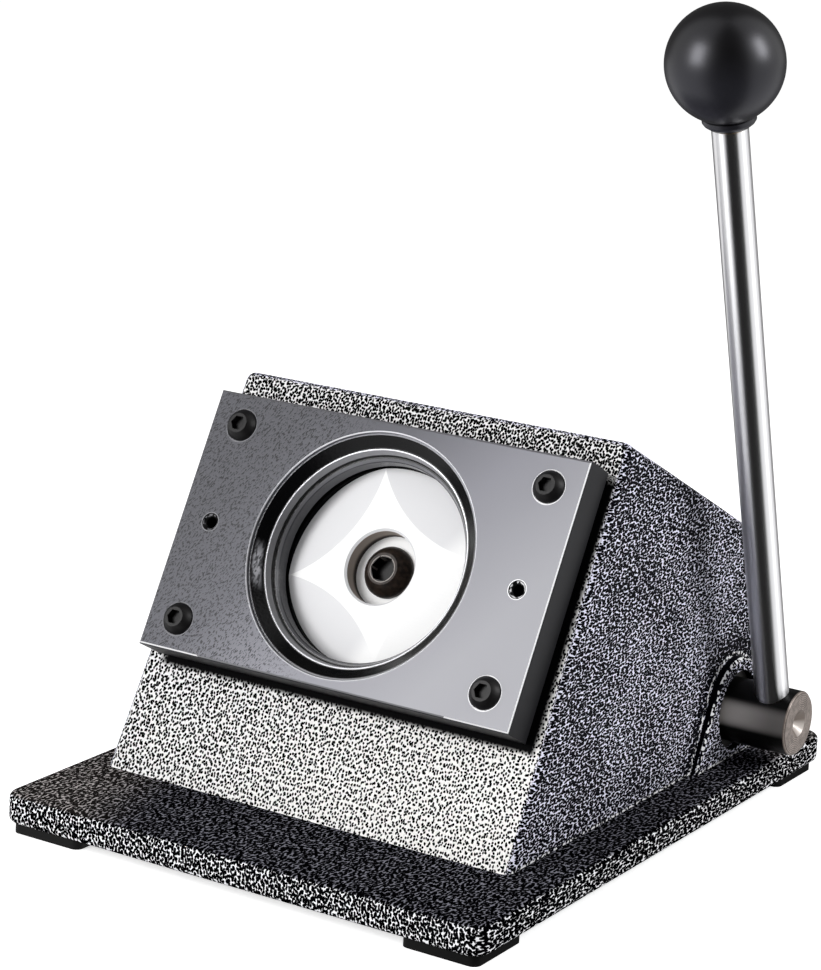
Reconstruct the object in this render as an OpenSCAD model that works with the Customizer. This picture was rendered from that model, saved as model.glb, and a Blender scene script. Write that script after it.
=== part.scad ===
// Bench circle cutter for button-badge artwork: a hand lever turns a cross shaft, a cam on the
// shaft drives a round punch out of a wedge-shaped casting and through a die plate.
// X runs left to right, Y front to back, Z up. The origin is the middle of the whole cutter's
// outline seen from above, lever up, on the surface that the feet stand on.

/* [Base plate] */
// Width of the base plate, left to right
base_w = 202; // [196:1:214]
// Thickness of the base plate
base_t = 11; // [9:0.5:14]
// Radius of the base plate's corners, seen from above
base_corner_r = 7.5; // [5:0.5:14]
// Radius that softens the base plate's edges
base_edge_r = 2.2; // [1.4:0.1:3.4]

/* [Feet] */
// Width of a rubber foot
foot_w = 30; // [24:1:34]
// Depth of a rubber foot
foot_d = 30; // [24:1:36]
// Height of a rubber foot
foot_h = 4.2; // [4:0.1:8]
// Distance from the base plate's edges to a foot
foot_inset = 3; // [2:0.5:8]
// Radius of a foot's corners
foot_corner_r = 3; // [2:0.5:10]

/* [Body casting] */
// Width of the body at its foot
body_w_bottom = 173; // [170:0.5:178]
// Width of the body at its ridge
body_w_top = 165; // [160:0.5:168]
// Distance that the body stands to the left of the base plate's middle
body_shift = 3.4; // [2:0.1:5]
// Height of the body above the base plate
body_h = 138.8; // [136:0.2:148]
// Distance from the base plate's front edge to the foot of the slanted face
front_ledge = 46.9; // [44:0.1:54]
// Distance from the rear wall to the base plate's rear edge
rear_ledge = 18.4; // [15:0.1:24]
// Distance from the cross shaft's axis back to the inside of the rear wall
rear_room = 23.55; // [23.05:0.5:32.05]
// Slope of the punching face above the horizontal, in degrees
face_angle = 61.6; // [60.5:0.1:62.5]
// Fall of the roof behind the ridge, in degrees
roof_angle = 26.6; // [24:0.2:29]
// Thickness of the side, roof and rear walls
wall = 7; // [6:0.5:8]
// Thickness of the slanted front wall
front_wall = 14; // [12:0.5:15]
// Radius of the casting's outer edges
body_edge_r = 3.5; // [2:0.5:6]
// Height that the shaft bosses stand out from the side walls
boss_stand = 3.2; // [2:0.2:5]
// Radius of a shaft boss
boss_r = 20.5; // [19:0.5:22]
// Lean of a shaft boss's flanks below the shaft, in degrees
boss_flank = 26; // [20:1:30]
// Bevel round a shaft boss's face
boss_bevel = 1; // [0.5:0.1:1.5]
// Outer diameter of the bosses inside the side walls
inner_boss_d = 44; // [40:1:46]
// Length of the bosses inside the side walls
inner_boss_len = 15; // [13:1:20]
// Diameter of the lugs that take the base screws
lug_d = 22; // [18:1:24]
// Height of the lugs
lug_h = 24; // [22:1:30]

/* [Die plate] */
// Width of the die plate
plate_w = 158; // [156:0.5:160]
// Height of the die plate along the face
plate_h = 99.5; // [97:0.5:108]
// Thickness of the die plate
plate_t = 14; // [13:0.5:16]
// Bevel round the die plate's front face
plate_bevel = 0.8; // [0.4:0.1:1.5]
// Distance up the face from the base plate to the middle of the die
die_up = 94.9; // [90:0.1:98]
// Height of the slot that takes the paper, between the body and the die plate
paper_slot = 2; // [1.5:0.1:3]
// Diameter of the discs that are cut
cut_d = 75; // [70:0.5:76]
// Length of the die's cutting land
land_len = 4.5; // [3:0.5:5.5]
// Diameter of the die's lower step
step_d = 78.4; // [77:0.1:80]
// Depth of the die's lower step below the front of the plate
step_depth = 8.2; // [7.5:0.1:8.7]
// Diameter of the die's lip
lip_d = 81.2; // [80.6:0.1:83]
// Depth of the lip below the front of the plate
lip_depth = 4.4; // [3:0.1:5]
// Width of the flat ring that forms the lip
lip_ring = 0.8; // [0.4:0.1:1.2]
// Diameter of the die's mouth
mouth_d = 92; // [88:0.5:94]
// Bevel on the edge of the mouth
mouth_bevel = 0.4; // [0.2:0.1:0.6]
// Straight part of the wall below the mouth's edge
mouth_rim = 0.8; // [0.4:0.1:1.4]
// Distance between the die screws, left to right
screw_pitch_w = 131; // [126:0.5:134]
// Distance between the die screws, along the slope
screw_pitch_h = 75.5; // [72:0.5:80]
// Distance between the two tapped holes at mid height
guide_pitch = 131; // [126:0.5:134]
// Tapping diameter of the two holes
guide_hole_d = 4.2; // [3.3:0.1:5]
// Diameter of the bevel at each tapped hole's mouth
guide_mouth_d = 6.6; // [5.6:0.1:7]

/* [Punch and ram] */
// Thickness of the punch
punch_t = 22; // [20:0.5:23]
// Depth of the punch's face below the body's face, lever up
punch_rest = 0.2; // [0.1:0.1:0.5]
// Travel of the punch over the lever's full swing
travel = 8; // [6.5:0.1:8.5]
// Depth of the shear grinding at the punch's rim
shear_depth = 2.5; // [1:0.1:3.5]
// Distance from the punch's axis to the ground facets
star_waist = 19.5; // [16:0.5:24]
// Distance from the punch's rim to the tips between the ground facets
star_tip_in = 0.4; // [0.2:0.1:2]
// Turn of the four ground facets about the punch's axis, in degrees
star_turn = 15.8; // [0:0.1:45]
// Diameter of the counterbore in the punch
counterbore_d = 27.6; // [24:0.2:30]
// Depth of the counterbore in the punch
counterbore_depth = 8; // [7.5:0.5:11]
// Diameter of the ram
ram_d = 32; // [30:0.5:34]
// Diameter of the spigot that centres the punch on the ram
spigot_d = 24; // [20:0.5:26]
// Length of the spigot
spigot_len = 5; // [3:0.5:6]
// Outer diameter of the ram's guide boss in the casting
guide_boss_d = 54; // [50:1:58]
// Length of the guide boss
guide_boss_len = 22.6; // [20:0.2:24]
// Thickness of the web that carries the guide boss
web_t = 8; // [6:0.5:9]
// Wall of the ram's guide bush
ram_bush_wall = 4; // [3:0.5:5]
// Width of the keyway along the ram
keyway_w = 6; // [5:0.5:7]
// Depth of the keyway along the ram
keyway_depth = 3; // [2:0.5:4]

/* [Return spring] */
// Wire diameter of the return spring
wire_d = 4; // [3:0.1:4.2]
// Mean diameter of the return spring
spring_d = 42; // [40:0.5:44]
// Coils that work
active_coils = 4; // [3:1:4]
// Thickness of the washer under the spring
spring_washer_t = 1.5; // [1:0.1:2]
// Thickness of the collar on the ram
collar_t = 4; // [3:0.5:5]
// Outer diameter of the collar and the washer
collar_d = 50; // [48:1:54]

/* [Cam and roller] */
// Distance from the shaft's axis to the middle of the die, along the punch's axis
ram_reach = 137; // [134:0.5:139]
// Cam roller's diameter
roller_d = 22; // [20:0.5:24]
// Cam roller's width
roller_w = 14; // [12:0.5:16]
// Diameter of the roller's pin
roller_pin_d = 10; // [8:0.5:11]
// Distance from the shaft's axis to the roller's axis, lever up
pitch_r = 30; // [29.5:0.1:31]
// Run of the cam beyond the end of the lever's swing, in degrees
cam_overrun = 8; // [6:1:12]
// Run of the cam before the start of the lever's swing, in degrees
cam_lead = 14; // [8:1:16]
// Radius of the cam's nose
cam_nose_r = 4; // [2:0.5:5]
// Diameter of the cam's hub
hub_d = 33; // [32:0.5:34]
// Length of the cam's hub
hub_len = 36; // [32:1:44]
// Width and height of the key between cam and shaft
key_w = 6; // [5:0.5:7]
// Length of the key
key_len = 20; // [16:1:24]

/* [Lever] */
// Diameter of the cross shaft
shaft_d = 25; // [24:0.5:26]
// Length of shaft outside the right-hand boss
shaft_stand = 25.8; // [24:0.2:28]
// Distance from the shaft's end to the lever rod's axis
rod_from_end = 10.4; // [9:0.1:12]
// Diameter of the dimple in the shaft's ends
dimple_d = 10.6; // [8:0.2:12]
// Depth of the dimple in the shaft's ends
dimple_depth = 4.6; // [3:0.2:6]
// Outer diameter of the shaft's bushes
shaft_bush_d = 31; // [30:0.5:33]
// Lean of the lever towards the front, lever up, in degrees
lever_lean = 18; // [10:0.1:20]
// Swing of the lever, in degrees
swing = 70; // [60:1:71]
// Distance from the shaft's axis to the middle of the ball
lever_len = 268; // [240:0.5:290]
// Diameter of the lever rod
rod_d = 13; // [12:0.5:14]
// Diameter of the ball
ball_d = 41.6; // [36:0.1:44]
// Diameter of the ball's collar
collar_ring_d = 19; // [18:0.5:21]
// Distance from the middle of the ball to the end of its collar
collar_drop = 22.6; // [22:0.1:26]
// Outer diameter of the ball's threaded insert
insert_d = 15; // [14:0.5:16]
// Diameter of the rod's threaded end
rod_thread_d = 10; // [8:0.5:11]
// Diameter of the pin that stops the shaft's swing
stop_pin_d = 6; // [5:0.5:7]
// Length of the stop pin outside the shaft
stop_pin_stand = 6.5; // [5:0.5:8]

/* [Fasteners] */
// Thread diameter of the die screws
die_screw_d = 6; // [5:0.5:6]
// Head diameter of the die screws
die_head_d = 12; // [10.5:0.1:13]
// Head height of the die screws
die_head_h = 3.5; // [3:0.1:4]
// Depth of the spot faces under the die screws' heads
spot_depth = 0.3; // [0.2:0.1:0.6]
// Thread diameter of the punch screw
punch_screw_d = 12; // [10:0.5:12]
// Head diameter of the punch screw
punch_head_d = 19.4; // [17.5:0.1:21]
// Head height of the punch screw
punch_head_h = 6; // [5:0.1:6.6]
// Thread diameter of the base screws
base_screw_d = 8; // [6:0.5:8]
// Thread diameter of the foot screws
foot_screw_d = 4; // [3:0.5:4]

/* [Clearances] */
// Radial clearance of a running fit
run_gap = 0.05; // [0.02:0.01:0.08]
// Radial clearance of a fixed fit
seat_gap = 0.02; // [0.01:0.01:0.05]
// Clearance between faces that pass each other
pass_gap = 0.3; // [0.25:0.05:0.4]
// Radial clearance of a screw in a plain hole
screw_gap = 0.3; // [0.2:0.05:0.5]

/* [Hidden] */
$fn = 64;

// Heights and places of the base and the body
base_top = foot_h + base_t;
body_top = base_top + body_h;
body_d = die_up * cos(face_angle) + ram_reach * sin(face_angle) + rear_room + wall;
base_d = front_ledge + body_d + rear_ledge;
face_foot_y = front_ledge - base_d / 2;
rear_y = base_d / 2 - rear_ledge;
ridge_y = face_foot_y + body_h / tan(face_angle);
draft = atan((body_w_bottom - body_w_top) / 2 / body_h);
// Middle of the die on the body's slanted face
die_y = face_foot_y + die_up * cos(face_angle);
die_z = base_top + die_up * sin(face_angle);
// Axis of the cross shaft, on the punch's axis
shaft_y = die_y + ram_reach * sin(face_angle);
shaft_z = die_z - ram_reach * cos(face_angle);

// Places along the punch's axis, counted from the body's face, positive outwards
plate_front = paper_slot + plate_t;
punch_face = -punch_rest;
punch_back = punch_face - punch_t;
guide_front = punch_back - punch_rest;
guide_back = guide_front - guide_boss_len;
web_front = guide_front - 1.6;
web_back = web_front - web_t;
guide_screw_n = (web_back + guide_back) / 2;
spring_front = guide_back - spring_washer_t;
roller_n = pitch_r - ram_reach;
slot_front = roller_n + roller_d / 2 + 1;
slot_end = 6;
ram_end = roller_n - 8;
clip_t = 1.2;
clip_depth = 1;
collar_clip_w = 3;
pin_clip_w = 1.8;
shaft_clip_w = 2.5;
clip_end = 1.6;
shaft_clip_end = 2.6;
collar_back = slot_front + slot_end;
collar_front = collar_back + collar_t;
spring_len = spring_front - collar_front;

// Places along the cross shaft
half_at_shaft = body_w_bottom / 2 - (shaft_z - base_top) * tan(draft);
boss_face = half_at_shaft + boss_stand;
inner_face = half_at_shaft - wall - inner_boss_len;
bush_sink = 3;
washer_t = 1.5;
washer_gap = 0.1;
washer_in = -boss_face - washer_gap;
washer_out = washer_in - washer_t;
shaft_right = boss_face + shaft_stand;
shaft_left = washer_out - clip_t - shaft_clip_end;
rod_x = shaft_right - rod_from_end;
stop_w = stop_pin_d + 2 * pass_gap;
stop_x = -inner_face - stop_w / 2;
stop_from = 55;

// Middles of the base plate and of the body, with the ball reaching out to the right
base_x = (base_w / 2 + body_shift - rod_x - ball_d / 2) / 2;
body_x = base_x - body_shift;

// Cam: angles about the shaft's axis, counted from +Y towards +Z
contact_angle = 180 - (90 - face_angle);
key_angle = contact_angle - swing / 2;
follow_r = roller_d / 2 + pass_gap;
rise_per_turn = travel / (swing * PI / 180);
slot_w = roller_w + 2 * pass_gap;

// Screws
thread_gap = 0.05;
die_thread_len = 11;
punch_thread_len = 20;
base_thread_len = 15;
guide_screw_d = 8;
cam_screw_d = 5;
cam_screw_in = 5;
foot_thread_len = 6;
die_socket = 5;
punch_socket = 8.6;

// Point where the line through p at angle a meets the line through q at angle b
function meet(p, a, q, b) =
    let (t = ((q.x - p.x) * sin(b) - (q.y - p.y) * cos(b)) / sin(b - a))
    [p.x + t * cos(a), p.y + t * sin(a)];

// Half of the body's width at a height
function half_width(z) = body_w_bottom / 2 - (z - base_top) * tan(draft);

// Side outline of the body in Y and Z, moved in from its faces
function outline(front_in, roof_in, rear_in, low) =
    let (front = [face_foot_y + front_in * sin(face_angle), base_top - front_in * cos(face_angle)],
        roof = [ridge_y - roof_in * sin(roof_angle), body_top - roof_in * cos(roof_angle)],
        rear = [rear_y - rear_in, low])
    [meet(front, face_angle, rear, 0), meet(front, face_angle, roof, -roof_angle),
        meet(roof, -roof_angle, rear, 90), rear];

// Unit vector in the plane of the cam
function unit(a) = [cos(a), sin(a)];

// Point of the cam's surface under the roller, a degrees after the start of the swing
function cam_point(a) =
    let (rise = a > 0 ? rise_per_turn : 0,
        r = pitch_r + rise * a * PI / 180,
        out = unit(contact_angle - a),
        along = unit(contact_angle - a + 90),
        normal = (r * out + rise * along) / norm([r, rise]))
    r * out - follow_r * normal;

// Direction of the cam's surface at the end of its run
function cam_normal(a) =
    let (r = pitch_r + rise_per_turn * a * PI / 180)
    contact_angle - a + atan(rise_per_turn / r);

// Moves to the middle of the die: X along the shaft, Y up the slope, Z out of the face
module on_face(x = 0, v = 0, n = 0) {
    translate([body_x, die_y, die_z])
        rotate([face_angle, 0, 0])
            translate([x, v, n])
                children();
}

// Extrudes an outline in Y and Z along X, from x0 to x1 of the body's middle
module across(x0, x1) {
    translate([x0 + body_x, 0, 0])
        rotate([90, 0, 90])
            linear_extrude(x1 - x0)
                children();
}

// The same, with the outline's origin on the shaft's axis
module on_shaft(x0, x1) {
    translate([0, shaft_y, shaft_z])
        across(x0, x1)
            children();
}

// Moves onto the lever's axis, Z towards the ball
module on_lever(r = 0) {
    translate([rod_x + body_x, shaft_y, shaft_z])
        rotate([lever_lean, 0, 0])
            translate([0, 0, r])
                children();
}

// Four copies at the corners of a rectangle
module corners(w, h) {
    for (x = [-1, 1], y = [-1, 1])
        translate([x * w / 2, y * h / 2, 0])
            children();
}

// Ring along Z
module ring(outer_d, inner_r, t) {
    difference() {
        cylinder(d = outer_d, h = t);
        translate([0, 0, -1])
            cylinder(r = inner_r, h = t + 2);
    }
}

// Domed head with a hexagon socket, seated on Z = 0
module button_head(d, h, socket) {
    rim = 0.22 * h;
    top_r = 0.31 * d;
    drop = (h * h - rim * rim - d * d / 4 + top_r * top_r) / (2 * (h - rim));
    difference() {
        intersection() {
            cylinder(d = d, h = h);
            translate([0, 0, drop])
                sphere(r = norm([top_r, h - drop]), $fn = 96);
        }
        translate([0, 0, h - socket * 0.55])
            cylinder(r = socket / sqrt(3), h = h, $fn = 6);
    }
}

// Keeps what lies above the base plate
module above_base() {
    intersection() {
        children();
        translate([-base_w, -base_d, base_top])
            cube([2 * base_w, 2 * base_d, 2 * body_h]);
    }
}

// ---- Base ----

// Slab with rounded corners and softened edges
module rounded_slab(w, d, t, corner_r, edge_r) {
    hull()
        corners(w - 2 * corner_r, d - 2 * corner_r)
            for (z = [edge_r, t - edge_r])
                translate([0, 0, z])
                    rotate_extrude($fn = 48)
                        translate([corner_r - edge_r, 0])
                            intersection() {
                                circle(r = edge_r, $fn = 24);
                                translate([0, -edge_r])
                                    square([edge_r, 2 * edge_r]);
                            }
}

lug_x = half_width(base_top + lug_h / 2) - wall - lug_d / 2 + 1;
lug_front_y = outline(front_wall, wall, wall, base_top)[0].x + lug_d / 2 + 1;
lug_rear_y = shaft_y - inner_boss_d / 2 - lug_d / 2 - 1;
foot_x = base_w / 2 - foot_inset - foot_w / 2;
foot_y = base_d / 2 - foot_inset - foot_d / 2;

module at_feet() {
    translate([base_x, 0, 0])
        corners(2 * foot_x, 2 * foot_y)
            children();
}

module at_lugs() {
    for (x = [-lug_x, lug_x], y = [lug_front_y, lug_rear_y])
        translate([x + body_x, y, 0])
            children();
}

base_head_d = 2 * base_screw_d;
base_head_h = base_screw_d / 2;
base_head_sink = 0.3;
base_sink_r = base_head_d / 2 + base_head_sink + seat_gap;

module base_plate() {
    color("dimgray")
        difference() {
            translate([base_x, 0, foot_h])
                rounded_slab(base_w, base_d, base_t, base_corner_r, base_edge_r);
            at_lugs() {
                translate([0, 0, foot_h - 1])
                    cylinder(d = base_screw_d + 2 * screw_gap, h = base_t + 2);
                translate([0, 0, foot_h - 1])
                    cylinder(r1 = base_sink_r + 1, r2 = base_screw_d / 2 + screw_gap,
                        h = base_sink_r + 1 - base_screw_d / 2 - screw_gap);
            }
            at_feet()
                translate([0, 0, foot_h - 1])
                    cylinder(d = foot_screw_d + 2 * thread_gap, h = foot_thread_len + 2);
        }
}

module base_screws() {
    color("black")
        at_lugs()
            difference() {
                union() {
                    translate([0, 0, foot_h + base_head_sink])
                        cylinder(d1 = base_head_d, d2 = base_screw_d, h = base_head_h);
                    translate([0, 0, foot_h + 1])
                        cylinder(d = base_screw_d, h = base_t + base_thread_len - 1);
                }
                translate([0, 0, foot_h - 1])
                    cylinder(r = 5 / sqrt(3), h = 4.2, $fn = 6);
            }
}

foot_head_d = 7.5;
foot_head_h = 2.2;
foot_pocket = foot_head_h + 0.4;

module rubber_feet() {
    color("#151515")
        at_feet()
            difference() {
                linear_extrude(foot_h)
                    hull()
                        corners(foot_w - 2 * foot_corner_r, foot_d - 2 * foot_corner_r)
                            circle(r = foot_corner_r, $fn = 32);
                translate([0, 0, -1])
                    cylinder(d = foot_head_d + 1, h = foot_pocket + 1);
                translate([0, 0, 1])
                    cylinder(d = foot_screw_d + 2 * screw_gap, h = foot_h);
            }
}

module foot_screws() {
    color("silver")
        at_feet()
            difference() {
                union() {
                    translate([0, 0, foot_pocket - foot_head_h])
                        cylinder(d = foot_head_d, h = foot_head_h);
                    translate([0, 0, foot_pocket - 1])
                        cylinder(d = foot_screw_d, h = foot_h - foot_pocket + 1 + foot_thread_len);
                }
                for (a = [0, 90])
                    rotate([0, 0, a])
                        translate([-2, -0.5, 0])
                            cube([4, 1, foot_pocket - foot_head_h + 1.2]);
            }
}

// ---- Body ----

// The wedge, with all its edges rounded and an open foot
module body_shape() {
    above_base()
        hull()
            for (p = outline(body_edge_r, body_edge_r, body_edge_r, base_top - 3 * body_edge_r))
                for (side = [-1, 1])
                    translate([side * (half_width(p.y) - body_edge_r / cos(draft)) + body_x,
                        p.x, p.y])
                        sphere(r = body_edge_r, $fn = 32);
}

// The hollow inside the walls
module body_cavity() {
    low = base_top - 1;
    high = body_top + 1;
    intersection() {
        across(-body_w_bottom, body_w_bottom)
            polygon(outline(front_wall, wall, wall, low));
        translate([body_x, base_d, 0])
            rotate([90, 0, 0])
                linear_extrude(2 * base_d)
                    polygon([[wall - half_width(low), low], [half_width(low) - wall, low],
                        [half_width(high) - wall, high], [wall - half_width(high), high]]);
    }
}

// Arch that stands round the shaft with flanks down to the base plate
module boss_outline(inset) {
    r = boss_r - inset;
    side = [cos(boss_flank), sin(boss_flank)];
    foot = base_top - shaft_z - 1;
    spread = (r * side.y - foot) * tan(boss_flank);
    circle(r = r);
    polygon([[-r * side.x, r * side.y], [r * side.x, r * side.y],
        [r * side.x + spread, foot], [-r * side.x - spread, foot]]);
}

// Raised boss on the right (side 1) or left (side -1) wall
module shaft_boss(side) {
    above_base()
        intersection() {
            hull() {
                mirror([side < 0 ? 1 : 0, 0, 0])
                    translate([side < 0 ? -2 * body_x : 0, 0, 0]) {
                        on_shaft(half_at_shaft - wall, boss_face - boss_bevel)
                            boss_outline(0);
                        on_shaft(half_at_shaft - wall, boss_face)
                            boss_outline(boss_bevel);
                    }
            }
            translate([-base_w, face_foot_y, 0])
                cube([2 * base_w, rear_y - face_foot_y, body_top]);
        }
}

// Web and boss inside that guide the ram
module ram_guide() {
    on_face(0, 0, web_back)
        translate([-body_w_bottom, -body_top, 0])
            cube([2 * body_w_bottom, 2 * body_top, web_t]);
    on_face(0, 0, guide_back)
        cylinder(d = guide_boss_d, h = guide_boss_len);
}

// Sector in which the stop pin swings, as wide as the pin at both ends
module stop_recess() {
    reach = inner_boss_d;
    for (a = [stop_from, stop_from + swing])
        rotate([0, 0, a])
            translate([0, -stop_w / 2])
                square([reach, stop_w]);
    polygon([[0, 0], reach * unit(stop_from), reach * unit(stop_from + swing / 2),
        reach * unit(stop_from + swing)]);
}

module body_casting() {
    color("slategray")
        difference() {
            union() {
                difference() {
                    body_shape();
                    body_cavity();
                }
                intersection() {
                    body_shape();
                    union() {
                        ram_guide();
                        on_shaft(inner_face, half_at_shaft)
                            circle(d = inner_boss_d);
                        on_shaft(-half_at_shaft, -inner_face)
                            circle(d = inner_boss_d);
                        at_lugs()
                            cylinder(d = lug_d, h = base_top + lug_h);
                    }
                }
                shaft_boss(1);
                shaft_boss(-1);
            }
            // Bores for the punch, the ram's bush and the shaft's bushes
            on_face(0, 0, -front_wall - 1)
                cylinder(r = cut_d / 2 + run_gap, h = front_wall + 2, $fn = 128);
            on_face(0, 0, guide_back - 1)
                cylinder(r = ram_d / 2 + ram_bush_wall + seat_gap, h = guide_boss_len + 2);
            on_shaft(-boss_face - 1, boss_face + 1)
                circle(r = shaft_bush_d / 2 + seat_gap);
            on_shaft(stop_x - stop_w / 2, 1 - inner_face)
                stop_recess();
            // Tapped holes
            on_face(0, 0, -die_thread_len - 1)
                corners(screw_pitch_w, screw_pitch_h)
                    cylinder(r = die_screw_d / 2 + thread_gap, h = die_thread_len + 2);
            on_face(0, 0, guide_screw_n)
                rotate([90, 0, 0])
                    cylinder(r = guide_screw_d / 2 + thread_gap, h = guide_boss_d);
            at_lugs()
                translate([0, 0, base_top - 1])
                    cylinder(r = base_screw_d / 2 + thread_gap, h = base_thread_len + 2);
        }
}

// ---- Die ----

// Half section of the die's hole, from the plate's back to in front of it
function die_profile() =
    let (land_r = cut_d / 2 + run_gap, step_r = step_d / 2, lip_r = lip_d / 2, mouth_r = mouth_d / 2,
        z = plate_front)
    [[0, paper_slot - 1], [land_r, paper_slot - 1], [land_r, paper_slot + land_len],
        [step_r - 0.6, z - step_depth], [step_r, z - step_depth], [lip_r, z - lip_depth],
        [lip_r + lip_ring, z - lip_depth], [mouth_r - mouth_rim, z - mouth_bevel - mouth_rim],
        [mouth_r, z - mouth_bevel - mouth_rim], [mouth_r, z - mouth_bevel],
        [mouth_r + mouth_bevel + 0.1, z + 0.1], [0, z + 0.1]];

module die_plate() {
    inner_w = plate_w - 2 * plate_bevel;
    inner_h = plate_h - 2 * plate_bevel;
    color("#3b3b3e")
        on_face()
            difference() {
                hull() {
                    translate([-plate_w / 2, -plate_h / 2, paper_slot])
                        cube([plate_w, plate_h, plate_t - plate_bevel]);
                    translate([-inner_w / 2, -inner_h / 2, paper_slot])
                        cube([inner_w, inner_h, plate_t]);
                }
                rotate_extrude($fn = 128)
                    polygon(die_profile());
                corners(screw_pitch_w, screw_pitch_h) {
                    cylinder(r = die_screw_d / 2 + screw_gap, h = plate_front + 1);
                    translate([0, 0, plate_front - spot_depth])
                        cylinder(d = die_head_d + 2 * screw_gap, h = 1);
                }
                corners(guide_pitch, 0) {
                    cylinder(d = guide_hole_d, h = plate_front + 1);
                    translate([0, 0, plate_front - (guide_mouth_d - guide_hole_d) / 2])
                        cylinder(d1 = guide_hole_d, d2 = guide_mouth_d + 2,
                            h = (guide_mouth_d - guide_hole_d) / 2 + 1);
                }
            }
}

module die_screws() {
    color("#1a1a1a")
        on_face(0, 0, plate_front - spot_depth)
            corners(screw_pitch_w, screw_pitch_h) {
                button_head(die_head_d, die_head_h, die_socket);
                translate([0, 0, -plate_front - die_thread_len + spot_depth + 1])
                    cylinder(d = die_screw_d, h = plate_front + die_thread_len - 1);
            }
}

module plate_spacers() {
    color("silver")
        on_face()
            corners(screw_pitch_w, screw_pitch_h)
                ring(die_head_d + 2, die_screw_d / 2 + screw_gap, paper_slot);
}

// ---- Punch and ram ----

// Half the distance between two neighbouring tips of the star, and the circle through them
tip_half = (cut_d / 2 - star_tip_in) * sin(45);
tip_depth = (cut_d / 2 - star_tip_in) * cos(45) - star_waist;
grind_r = (tip_half * tip_half + tip_depth * tip_depth) / (2 * tip_depth);
grind_x = star_waist + grind_r;
grind_fall = shear_depth / (cut_d / 2 - star_waist);

module punch() {
    grind_h = 6;
    color("gainsboro")
        on_face(0, 0, punch_back)
            difference() {
                cylinder(d = cut_d, h = punch_t, $fn = 128);
                for (a = [0:90:270])
                    rotate([0, 0, a + star_turn + 45])
                        translate([grind_x, 0, punch_t - grind_h])
                            cylinder(r1 = grind_r - grind_h / grind_fall,
                                r2 = grind_r + 1 / grind_fall, h = grind_h + 1, $fn = 256);
                translate([0, 0, punch_t - counterbore_depth])
                    cylinder(d = counterbore_d, h = counterbore_depth + 1);
                translate([0, 0, punch_t - 0.8])
                    cylinder(d1 = counterbore_d, d2 = counterbore_d + 2.6, h = 1.3);
                translate([0, 0, -1])
                    cylinder(r = punch_screw_d / 2 + screw_gap, h = punch_t);
                translate([0, 0, -1])
                    cylinder(r = spigot_d / 2 + seat_gap, h = spigot_len + 1.2);
            }
}

module punch_screw() {
    color("#2a211c")
        on_face(0, 0, punch_face - counterbore_depth) {
            button_head(punch_head_d, punch_head_h, punch_socket);
            translate([0, 0, counterbore_depth - punch_t - punch_thread_len])
                cylinder(d = punch_screw_d, h = punch_t - counterbore_depth + punch_thread_len + 0.5);
        }
}

pin_seat_x = ram_d / 2 - 0.7;
keyway_reach = keyway_w / 2 + run_gap;

module ram() {
    color("silver")
        on_face()
            difference() {
                union() {
                    translate([0, 0, ram_end])
                        cylinder(d = ram_d, h = punch_back - ram_end);
                    translate([0, 0, punch_back - 1])
                        cylinder(d = spigot_d, h = spigot_len + 1);
                }
                // Slot for the roller
                translate([-slot_w / 2, -ram_d, ram_end - 1])
                    cube([slot_w, 2 * ram_d, slot_front - ram_end + 1]);
                // Hole and flats for the roller's pin
                translate([-ram_d, 0, roller_n])
                    rotate([0, 90, 0])
                        cylinder(r = roller_pin_d / 2 + seat_gap, h = 2 * ram_d);
                for (side = [-1, 1])
                    translate([side * pin_seat_x, 0, roller_n])
                        rotate([0, side * 90, 0])
                            cylinder(d = roller_pin_d + 4, h = ram_d);
                // Keyway for the guide screw's point, on the lower side
                hull()
                    for (n = [guide_screw_n - travel - 0.4, guide_screw_n + 0.4])
                        translate([0, keyway_depth - ram_d / 2, n])
                            rotate([90, 0, 0])
                                cylinder(r = keyway_reach, h = ram_d, $fn = 32);
                // Groove for the collar's clip
                translate([0, 0, collar_back - clip_t - 0.1])
                    ring(ram_d + 2, ram_d / 2 - clip_depth, clip_t + 0.1);
                // Tapped hole for the punch screw
                translate([0, 0, punch_back - punch_thread_len - 4])
                    cylinder(r = punch_screw_d / 2 + thread_gap, h = 2 * punch_thread_len);
            }
}

module ram_bush() {
    color("goldenrod")
        on_face()
            difference() {
                translate([0, 0, guide_back])
                    ring(ram_d + 2 * ram_bush_wall, ram_d / 2 + run_gap, guide_boss_len);
                translate([0, 0, guide_screw_n])
                    rotate([90, 0, 0])
                        cylinder(r = guide_screw_d / 2 + thread_gap, h = ram_d);
            }
}

module guide_screw() {
    point_len = ram_d / 2 + ram_bush_wall / 2;
    color("#1a1a1a")
        on_face(0, 0, guide_screw_n)
            rotate([90, 0, 0])
                difference() {
                    union() {
                        translate([0, 0, ram_d / 2 - keyway_depth + 0.4])
                            cylinder(d = keyway_w - 0.1, h = point_len);
                        translate([0, 0, ram_d / 2 + 0.6])
                            cylinder(d = guide_screw_d, h = guide_boss_d / 2 - ram_d / 2 - 1);
                    }
                    translate([0, 0, guide_boss_d / 2 - 3])
                        cylinder(r = 4 / sqrt(3), h = point_len, $fn = 6);
                }
}

module spring_washer() {
    color("silver")
        on_face(0, 0, spring_front)
            ring(collar_d, ram_d / 2 + screw_gap, spring_washer_t);
}

module spring_collar() {
    color("silver")
        on_face(0, 0, collar_back)
            ring(collar_d, ram_d / 2 + seat_gap, collar_t);
}

// Open ring that snaps into a groove, along Z
module snap_ring(outer_d, groove_r) {
    difference() {
        ring(outer_d, groove_r + seat_gap, clip_t);
        translate([0, -1.5, -1])
            cube([outer_d, 3, clip_t + 2]);
    }
}

module collar_clip() {
    color("dimgray")
        on_face(0, 0, collar_back - clip_t)
            snap_ring(ram_d + 2 * collar_clip_w, ram_d / 2 - clip_depth);
}

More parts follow.
